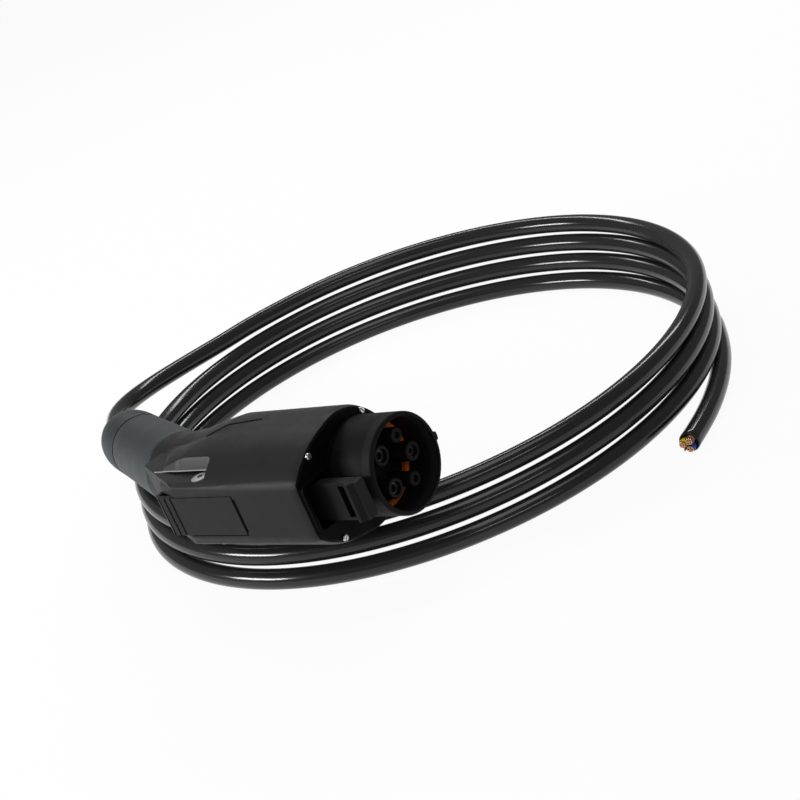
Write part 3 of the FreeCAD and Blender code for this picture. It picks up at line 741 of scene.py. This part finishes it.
@dataclass
class CutEnd:
    """The bare end: four cores out of the jacket, each with its copper strands."""

    out: float = 2.0
    bare: float = 1.3
    recess: float = 0.8
    hidden: float = 3.0
    copper_share: float = 0.8
    splay: float = 1.06
    twist: float = 0.09
    uneven: float = 0.175
    sides: int = 20
    strand_sides: int = 8
    cores: tuple[Core, ...] = (
        Core("earth", 5.0, 2.35, 2.0, 2, Finish.EARTH_CORE, "core_green"),
        Core("line", 125.0, 2.35, 2.0, 2, Finish.LINE_CORE, "core_black"),
        Core("neutral", -115.0, 2.35, 2.0, 2, Finish.NEUTRAL_CORE, "core_blue"),
        Core("control", -55.0, 3.1, 0.6, 1, Finish.CONTROL_CORE, "core_red"),
    )

    def build(self, lead: ChargingLead) -> None:
        """Makes the cores and their strands.

        Args:
            lead: The cable that they come out of.
        """
        end, before = COIL_POSE.place([lead.tail[-1], lead.tail[-2]])
        heading = unit(end - before)
        side = unit(np.cross(heading, UP))
        cut = Pose(np.column_stack([heading, side, np.cross(side, heading)]), tuple(end / MM))
        for core in self.cores:
            angle = math.radians(core.degrees)
            offset = (0.0, core.offset * math.cos(angle), core.offset * math.sin(angle))
            pose = cut.child(np.eye(3), offset)
            self.sleeve(core, pose)
            self.strands(core, pose)
        LOG.info("cut end: %d cores", len(self.cores))

    def sleeve(self, core: Core, pose: Pose) -> None:
        """One core's insulation, turned round its axis, with a rounded rim round its copper.

        Args:
            core: The core.
            pose: Where its drawing lies, with X out along the core from the jacket's cut.
        """
        inner, floor = core.radius * self.copper_share, self.out - self.recess
        profile = np.array([
            (-self.hidden, POINT), (-self.hidden, core.radius), (self.out - 0.25, core.radius),
            (self.out - 0.06, core.radius - 0.08), (self.out, core.radius - 0.2), (self.out, inner),
            (floor, inner), (floor, POINT),
        ])
        surface = pose.place(lathe(*profile.T, self.sides)), tube_faces(len(profile), self.sides)
        name = "core_sleeve_" + core.node
        sleeve = fixed_piece(name, surface, core.finish, core.slot, "core_" + core.node)
        tube_map(sleeve.data, self.sides, 1.0, profile[:, 0])

    def strands(self, core: Core, pose: Pose) -> None:
        """One core's copper: a twisted bundle of round wires, six more in each ring round the first.

        A wire's centre is its ring's radius times (cosine, sine) of its own angle plus the twist,
        and the ring's radius grows a little towards the tip. Its end is rounded: the wire's radius
        shrinks there as the root of one less the square of the distance past the shoulder.

        Args:
            core: The core.
            pose: Where its drawing lies.
        """
        wire = core.radius * self.copper_share / (2 * core.rings + 1)
        spots = [(0.0, 0.0)] + [
            (TAU * k / (6 * ring) + 0.2 * ring, 2.0 * wire * ring)
            for ring in range(1, core.rings + 1) for k in range(6 * ring)
        ]
        angles, reach = np.array(spots).T[..., None]
        tip = self.out + self.bare
        straight = np.linspace(self.out - self.recess, tip - wire, 7)
        distance = np.append(straight, tip - wire * np.array([0.5, 0.15, 0.0]))
        past = np.clip((distance - tip + wire) / wire, 0.0, 1.0)
        thick = wire * np.sqrt(np.maximum(1.0 - past**2, 0.02))
        share = np.clip((distance - self.out) / self.bare, 0.0, 1.0)
        turning = angles + self.twist * distance
        wide = reach * (1.0 + (self.splay - 1.0) * share)
        along = distance + self.uneven * np.sin(angles * 3.0 + core.degrees) * (reach > 0) * share
        centre = np.stack([along, wide * np.cos(turning), wide * np.sin(turning)], axis=-1)
        disc = lathe([0.0], [1.0], self.strand_sides)
        wires = pose.place(centre[:, :, None] + thick[:, None, None] * disc)
        faces = tube_faces(len(distance), self.strand_sides)
        bundle = joined([(own.reshape(-1, 3), faces) for own in wires])
        name = "copper_strands_" + core.node
        fixed_piece(name, bundle, Finish.COPPER, "copper", "copper_" + core.node)


@dataclass
class HandGrip:
    """The soft cover of the grip and the clamp nut at its end.

    A rim is a row of (distance in from the end, how much the radius is less than behind it).
    """

    seam: float = 0.6
    neck: float = 18.6
    wall: float = 3.0
    spigot_length: float = 23.0
    end: float = 17.0
    front_rim: tuple[Pair, ...] = ((0.0, 1.2), (0.15, 0.7), (0.55, 0.25))
    rear_rim: tuple[Pair, ...] = ((0.35, 0.15), (0.08, 0.45), (0.0, 0.9))
    collar_rim: tuple[Pair, ...] = ((0.0, 0.5), (0.12, 0.15), (0.5, 0.0))
    groove_depth: float = 1.2
    collar_length: float = 34.0
    collar_start: float = 17.05
    collar_shoulder: float = 10.0
    collar_taper: float = 0.012
    collar_tip: float = 8.4
    collar_square: float = 2.3
    gap: float = 1.2
    bore: float = 5.1
    mouth: Pair = (3.0, 0.6)
    sides: int = 96

    def build(self) -> None:
        """Makes the cover and the nut as surfaces turned round the grip's axis."""
        self.cover()
        self.collar()
        LOG.info("hand grip: cover and clamp nut")

    def cover(self) -> None:
        """The cover: a hollow cone with rounded rims, from the casing's neck to the collar's groove.

        The outside's radius goes in proportion from the neck's to the end's.
        """
        first, hollow = GRIP.start() + self.seam, GRIP.start() + self.spigot_length
        last = GRIP.length - self.collar_length - self.gap
        inner = self.neck - self.wall
        front, rear = np.array(self.front_rim).T, np.array(self.rear_rim).T
        stations = np.concatenate([
            first + front[0], np.linspace(first + 1.2, last - 0.8, 24), last - rear[0],
            [last, hollow, hollow, first],
        ])
        radii = np.concatenate([
            self.neck - front[1], np.linspace(self.neck, self.end, 24), self.end - rear[1],
            [self.bore, self.bore, inner, inner],
        ])
        fixed_piece("grip_cover", self.turned(stations, radii), Finish.GRIP, "grip", "hand_grip")

    def collar(self) -> None:
        """The clamp nut: a neck in the groove, then a straight run that ends like an egg.

        With x the share of the rounded run that is past, the radius there is the tip's plus the
        rest of the shoulder's times the root of one less x to a power a little over two.
        """
        start = GRIP.length - self.collar_length
        turned_in = start + self.collar_shoulder
        past = np.sin(np.linspace(0.0, math.pi / 2.0, 28))
        shoulder = self.collar_start - self.collar_taper * self.collar_shoulder
        egg = self.collar_tip + (shoulder - self.collar_tip) * np.sqrt(1.0 - past**self.collar_square)
        neck, rim = self.end - self.groove_depth, np.array(self.collar_rim).T
        deep, flare = self.mouth
        stations = np.concatenate([
            [start - self.gap, start], start + rim[0], turned_in + (GRIP.length - turned_in) * past,
            [GRIP.length, GRIP.length - deep, start - self.gap],
        ])
        radii = np.concatenate([
            [neck, neck], self.collar_start - rim[1], egg, [self.bore + flare, self.bore, self.bore],
        ])
        fixed_piece("grip_collar", self.turned(stations, radii), Finish.COLLAR, "collar", "end_collar")

    def turned(self, stations: Array, radii: Array) -> Surface:
        """A closed surface turned round the grip's axis."""
        points = GRIP.pose().place(lathe(stations, radii, self.sides))
        return points, grid_faces(len(stations), self.sides, True)


@dataclass
class Shoulder:
    """What the casing carries at its shoulders: notch walls, washer-headed screws and seams."""

    notch_front: float = -84.45
    notch_rear: float = -124.0
    notch_level: float = 26.2
    notch_wall: float = 15.9
    notch_full: float = 5.0
    sunk: float = 0.05
    lip_out: float = 2.1
    lip_up: float = 1.3
    lip_round: float = 0.35
    lip_section: tuple[Pair, ...] = ((1.0, 0.12), (0.5, 0.0), (0.0, 0.1), (-0.3, 0.6))
    bead_start: float = -84.85
    bead_tip: float = -128.0
    bead_radius: float = 0.3
    stations: int = 48
    screw: Pair = (-90.3, 32.1)
    screw_radius: float = 4.3
    screw_height: float = 0.45
    screw_seat: float = 0.02
    socket_radius: float = 1.3
    seam_levels: Pair = (10.0, 5.0)
    seam_run: Pair = (-103.0, -68.0)
    seam_radius: float = 0.34
    slot_front: Pair = (-66.75, -65.85)
    slot_half: float = 8.3
    slot_levels: Pair = (39.0, 39.56)
    beyond: float = 60.0
    tube_sides: int = 10
    sides: int = 48
    sharp_degrees: float = 35.0

    def build(self) -> None:
        """Makes both sides' walls, beads, seams and screws."""
        sides = [(1.0, self.surface("shell_right")), (-1.0, self.surface("shell_left"))]
        walls = joined([self.wall(*side) for side in sides])
        beads = joined([self.bead(*side) for side in sides])
        seams = joined([*(self.seam(*side) for side in sides), self.slot()])
        pieces = [
            fixed_piece("notch_walls", walls, Finish.NOTCH, "shell"),
            fixed_piece("notch_beads", beads, Finish.BEAD_HIGHLIGHT, "shell"),
            fixed_piece("shoulder_seams", seams, Finish.SEAM_SHADE, "shell"),
            self.screws(),
        ]
        for piece in pieces:
            piece.data.set_sharp_from_angle(angle=math.radians(self.sharp_degrees))
            LOG.info("%s: %d faces", piece.name, len(piece.data.polygons))

    def surface(self, node: str) -> BVHTree:
        """A CAD node's triangles, for rays."""
        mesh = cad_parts[node].data
        faces = [tuple(face.vertices) for face in mesh.polygons]
        return BVHTree.FromPolygons([vertex.co for vertex in mesh.vertices], faces)

    def hit(self, tree: BVHTree, start: Point, heading: Point) -> Array | None:
        """Where a ray of the drawing first meets a surface, in the drawing."""
        found = tree.ray_cast(Vector(COUPLER_POSE.place(start)), Vector(COUPLER_POSE.heading(heading)))[0]
        return None if found is None else COUPLER_POSE.drawn(found)

    def height(self, tree: BVHTree, x: float, y: float) -> float:
        """How high the casing is at a place of the drawing, or minus infinity beside it."""
        met = self.hit(tree, (x, y, self.beyond), (0.0, 0.0, -1.0))
        return -math.inf if met is None else float(met[2])

    def wall(self, side: float, tree: BVHTree) -> Surface:
        """A leaning wall in the notch, which ends in a rounded lip over the shelf.

        At each station the section runs from the notch's upper rim down to the lip, round the lip
        by a small radius, and back up to the notch's flat. The lip stands out by the full amount
        at the front and by the root of what is left of the notch towards its tip.

        Args:
            side: One or minus one, the side of the coupler.
            tree: The casing's surface on that side.

        Returns:
            The wall.
        """
        rows, foot = [], self.notch_level - self.sunk
        for x in np.linspace(self.notch_front, self.notch_rear, self.stations):
            top, y, z, room = self.lip(x, side, tree)
            soft = self.lip_round * room
            rim = [(x, side * (y + out * soft), z - down * soft) for out, down in self.lip_section]
            rows.append([(x, side * top, foot), *rim, (x, rim[-1][1], foot)])
        return COUPLER_POSE.place(rows).reshape(-1, 3), tube_faces(len(rows), len(rows[0]))

    def lip(self, x: float, side: float, tree: BVHTree) -> tuple[float, float, float, float]:
        """The lip over the notch at a station.

        Args:
            x: The station.
            side: One or minus one, the side of the coupler.
            tree: The casing's surface on that side.

        Returns:
            The notch's upper rim, the lip's two places across and up, and the share of its full size.
        """
        across = np.arange(self.notch_wall + 0.1, self.notch_wall + 9.0, 0.1)
        cleared = [y for y in across if self.height(tree, x, side * y) > self.notch_level - 0.15]
        top = max(cleared, default=self.notch_wall + 0.1)
        room = min((top - self.notch_wall) / self.notch_full, 1.0)
        lip_z = self.notch_level + self.lip_out * math.sqrt(room) * room
        return top, self.notch_wall + self.lip_up * room, lip_z, room

    def tube(self, path: list, radius: float) -> Surface:
        """A thin round bead along points of the drawing, drawn in at its end."""
        tip = np.full((1, 2), 0.5 * radius * MM)
        points, along = swept(COUPLER_POSE.place(path), radius * MM, self.tube_sides, tip)
        return points, tube_faces(len(along), self.tube_sides)

    def bead(self, side: float, tree: BVHTree) -> Surface:
        """A lip bead, which runs out on the casing behind the notch, its grey a painted highlight.

        Args:
            side: One or minus one, the side of the coupler.
            tree: The casing's surface on that side.

        Returns:
            The edge.
        """
        path = []
        for x in np.linspace(self.bead_start, self.bead_tip, self.stations):
            _top, y, z, _room = self.lip(x, side, tree)
            level = self.height(tree, x, side * y) if x < self.notch_rear else z
            path.append((x, side * y, max(z, level)))
        return self.tube(path, self.bead_radius)

    def seam(self, side: float, tree: BVHTree) -> Surface:
        """A thin soft bead on the flank, its middle on the surface; its black is painted shade."""
        runs = np.linspace(*np.column_stack([self.seam_run, self.seam_levels]), self.stations)
        found = [self.hit(tree, (x, side * self.beyond, z), (0.0, -side, 0.0)) for x, z in runs]
        return self.tube([met for met in found if met is not None], self.seam_radius)

    def slot(self) -> Surface:
        """A black strip with round ends let into the flat before the button: the slit's painted shade.

        Returns:
            The strip.
        """
        rear, front = self.slot_front
        half = 0.5 * (front - rear)
        angle = np.linspace(0.0, math.pi, 9)
        end = np.stack([half * np.cos(angle), self.slot_half - half + half * np.sin(angle)], axis=-1)
        outline = np.concatenate([end, -end]) + (0.5 * (rear + front), 0.0)
        rings = [np.column_stack([outline, np.full(len(outline), level)]) for level in self.slot_levels]
        return COUPLER_POSE.place(np.concatenate(rings)), tube_faces(2, len(outline))

    def screws(self) -> Piece:
        """The two washer heads, turned round the drawing's Y.

        Returns:
            One piece of two chamfered discs, each with a round socket in near-black painted shade.
        """
        high, wide, hole = self.screw_height, self.screw_radius, self.socket_radius
        profile = np.array([
            (0.0, POINT), (0.0, wide), (0.45 * high, wide), (0.75 * high, wide - 0.35),
            (0.8 * high, 2.1 * hole), (high, 1.9 * hole), (high, hole + 0.12), (0.85 * high, hole),
            (0.15 * high, hole), (0.15 * high, POINT),
        ])
        first_inner = 7 * self.sides
        faces = tube_faces(len(profile), self.sides)
        parts = []
        for side in (1.0, -1.0):
            axes = np.column_stack([(0.0, side, 0.0), (1.0, 0.0, 0.0), UP])
            seat = (self.screw[0], side * (self.notch_wall + self.screw_seat), self.screw[1])
            parts.append((COUPLER_POSE.child(axes, seat).place(lathe(*profile.T, self.sides)), faces))
        heads = fixed_piece("case_screw_heads", joined(parts), Finish.WASHER, "steel", "case_screws")
        heads.data.materials.append(Finish.SOCKET_SHADE.material())
        # The socket's wall and floor take the near-black painted shade.
        within = np.arange(2 * len(faces)) % len(faces)
        inside = (within >= first_inner) & (within != len(faces) - 2)
        heads.data.polygons.foreach_set("material_index", inside.astype(np.int32))
        return heads


@dataclass(frozen=True)
class Dressed:
    """A CAD node that is shown as a cleaned copy with rounded edges."""

    node: str
    slot: str
    finish: Finish
    edge: float
    body: str = "coupler"


@dataclass
class Coupler:
    """The moulded and turned pieces whose shape is the CAD's own."""

    merge: float = 2e-6
    flat_degrees: float = 1.0
    sharp_degrees: float = 32.0
    soft_degrees: float = 62.0
    soft_rear: float = -114.0
    soft_shoulder: Pair = (-86.0, 25.6)
    rounded: tuple[Dressed, ...] = (
        Dressed("shell_left", "shell", Finish.SHELL, 0.45),
        Dressed("shell_right", "shell", Finish.SHELL, 0.45),
        Dressed("front_housing", "housing", Finish.FRONT, 0.3),
        Dressed("contact_insert", "insert", Finish.INSERT, 0.12),
        Dressed("latch_lever", "lever", Finish.LATCH, 0.3, "latch"),
        Dressed("release_button", "button", Finish.SHELL, 0.25, "latch"),
    )
    plain: tuple[tuple[str, Finish], ...] = (
        ("seal_ring", Finish.SEAL), ("latch_pin", Finish.STEEL),
        ("micro_switch", Finish.SWITCH), ("plate_screws", Finish.STEEL),
        ("contact_line", Finish.TIN), ("contact_neutral", Finish.TIN), ("contact_earth", Finish.TIN),
        ("contact_pilot", Finish.TIN), ("contact_proximity", Finish.TIN),
    )

    def build(self) -> None:
        """Dresses every CAD node of the coupler."""
        for spec in self.rounded:
            self.copy(spec)
        for node, finish in self.plain:
            dress(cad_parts[node], finish)
        LOG.info("coupler: %d rounded copies, %d nodes", len(self.rounded), len(self.plain))

    def copy(self, spec: Dressed) -> None:
        """Makes a merged copy of a CAD node, its sharp edges rounded by a bevel.

        Args:
            spec: What is copied and how.
        """
        work = bmesh.new()
        work.from_mesh(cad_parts[spec.node].data)
        bmesh.ops.remove_doubles(work, verts=work.verts, dist=self.merge)
        limit = math.radians(self.flat_degrees)
        bmesh.ops.dissolve_limit(work, angle_limit=limit, verts=work.verts, edges=work.edges)
        weight = work.edges.layers.float.new("bevel_weight_edge")
        for edge in work.edges:
            edge[weight] = float(self.crisp(edge, spec))
        mesh = bpy.data.meshes.new(spec.node + "_rounded")
        work.to_mesh(mesh)
        work.free()
        mesh.polygons.foreach_set("use_smooth", [True] * len(mesh.polygons))
        piece = add_object(spec.node + "_rounded", mesh)
        bevel = piece.modifiers.new("edges", "BEVEL")
        bevel.width = spec.edge * MM
        bevel.segments = 2
        bevel.limit_method = "WEIGHT"
        piece.modifiers.new("shading", "WEIGHTED_NORMAL")
        declare(piece, spec.finish, spec.slot, spec.node, body=spec.body)

    def crisp(self, edge: bmesh.types.BMEdge, spec: Dressed) -> bool:
        """Whether an edge is bevelled, or runs on softly as on the casing's shoulder.

        Args:
            edge: The edge.
            spec: The copy that it is on.

        Returns:
            True for an edge with a bevel.
        """
        turned = math.degrees(edge.calc_face_angle(0.0))
        if turned < self.sharp_degrees or spec.slot != "shell":
            return turned >= self.sharp_degrees
        x, _y, z = COUPLER_POSE.drawn((edge.verts[0].co + edge.verts[1].co) * 0.5)
        shoulder, level = self.soft_shoulder
        soft = x < self.soft_rear or (x < shoulder and z < level)
        return not soft or turned >= self.soft_degrees


@dataclass
class ReturnSpring:
    """The wound wire under the button, which shortens as the button goes in."""

    foot: Point = (-100.0, 0.0, 14.0)
    pressed_share: float = 0.78

    def build(self) -> None:
        """Copies the CAD's wire as a smooth-shaded piece in the steel finish."""
        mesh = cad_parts["latch_spring"].data.copy()
        mesh.polygons.foreach_set("use_smooth", [True] * len(mesh.polygons))
        wire = add_object("latch_spring_wire", mesh)
        declare(wire, Finish.STEEL, "steel", "latch_spring")
        up, foot = COUPLER_POSE.heading(UP).tolist(), COUPLER_POSE.place(self.foot).tolist()
        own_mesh(wire)
        LOG.info("latch_spring_wire: %d faces", len(mesh.polygons))


@dataclass(frozen=True)
class Softbox:
    """A rectangular lamp, placed and aimed in the row frame, in metres."""

    name: str
    place: Point
    size: Pair
    watts: float


@dataclass
class Studio:
    """Pale floor, plain surroundings and soft lamps."""

    floor_height: float = -0.0713
    floor_half: float = 4.0
    paper: Colour = (0.9, 0.9, 0.9)
    paper_seen: float = 0.935
    aim: Point = (-0.12, 0.12, -0.04)
    surroundings: float = 0.22
    lamps: tuple[Softbox, ...] = (
        Softbox("back_box", (-0.7, 0.95, 0.95), (1.5, 0.11), 8.0),
        Softbox("key_box", (-0.85, -0.9, 0.45), (0.5, 0.21), 12.5),
        Softbox("top_box", (0.05, 0.1, 1.6), (0.9, 0.9), 6.0),
        Softbox("side_box", (0.98, -0.55, 0.7), (0.7, 0.12), 1.6),
    )

    def build(self) -> None:
        """Makes the floor, the world and the lamps."""
        half, low = self.floor_half, self.floor_height
        corners = np.array([(-half, -half, low), (half, -half, low), (half, half, low), (-half, half, low)])
        floor = mesh_object("floor", corners, [(0, 1, 2, 3)])
        floor.data.materials.append(self.floor_material())
        world = bpy.data.worlds.new("surroundings")
        world.use_nodes = True
        background = world.node_tree.nodes["Background"].inputs
        background["Color"].default_value = (1.0, 1.0, 1.0, 1.0)
        background["Strength"].default_value = self.surroundings
        bpy.context.scene.world = world
        for spec in self.lamps:
            self.lamp(spec)
        bpy.context.scene.view_settings.view_transform = "Standard"
        LOG.info("studio: floor and %d lamps", len(self.lamps))

    def floor_material(self) -> Material:
        """White paper that the camera and mirror-like surfaces see as background.

        Returns:
            The material, which takes a soft shadow.
        """
        nodes = Nodes("floor_paper")
        nodes.tree.nodes.remove(nodes.shader)
        rays = nodes.add("LightPath").outputs
        seen = nodes.maths("MAXIMUM", rays["Is Camera Ray"], rays["Is Transmission Ray"])
        seen = nodes.maths("MAXIMUM", seen, rays["Is Glossy Ray"])
        share = nodes.maths("MULTIPLY", seen, self.paper_seen)
        paper = nodes.add("BsdfDiffuse", {"Color": self.paper})
        glow = nodes.add("Emission")
        mix = nodes.add("MixShader", {"Fac": share, 1: paper.outputs[0], 2: glow.outputs[0]})
        nodes.feed(nodes.tree.nodes["Material Output"].inputs["Surface"], mix.outputs[0])
        return nodes.material

    def lamp(self, spec: Softbox) -> None:
        """One area lamp, turned to face the object.

        Args:
            spec: Its place, size and power.
        """
        data = bpy.data.lights.new(spec.name, "AREA")
        data.shape = "RECTANGLE"
        data.size, data.size_y = spec.size
        data.energy = spec.watts
        back = unit(np.array(spec.place) - np.array(self.aim))
        side = unit(np.cross(UP, back))
        stand(add_object(spec.name, data), side, np.cross(back, side), back, spec.place)


def main() -> None:
    """Builds the camera, each sub-assembly and the studio."""
    logging.basicConfig(level=logging.INFO, format="%(name)s: %(message)s")
    lead = ChargingLead()
    PhotoCamera().build()
    lead.build()
    CutEnd().build(lead)
    HandGrip().build()
    Coupler().build()
    Shoulder().build()
    ReturnSpring().build()
    Studio().build()


if __name__ == "__main__":
    main()
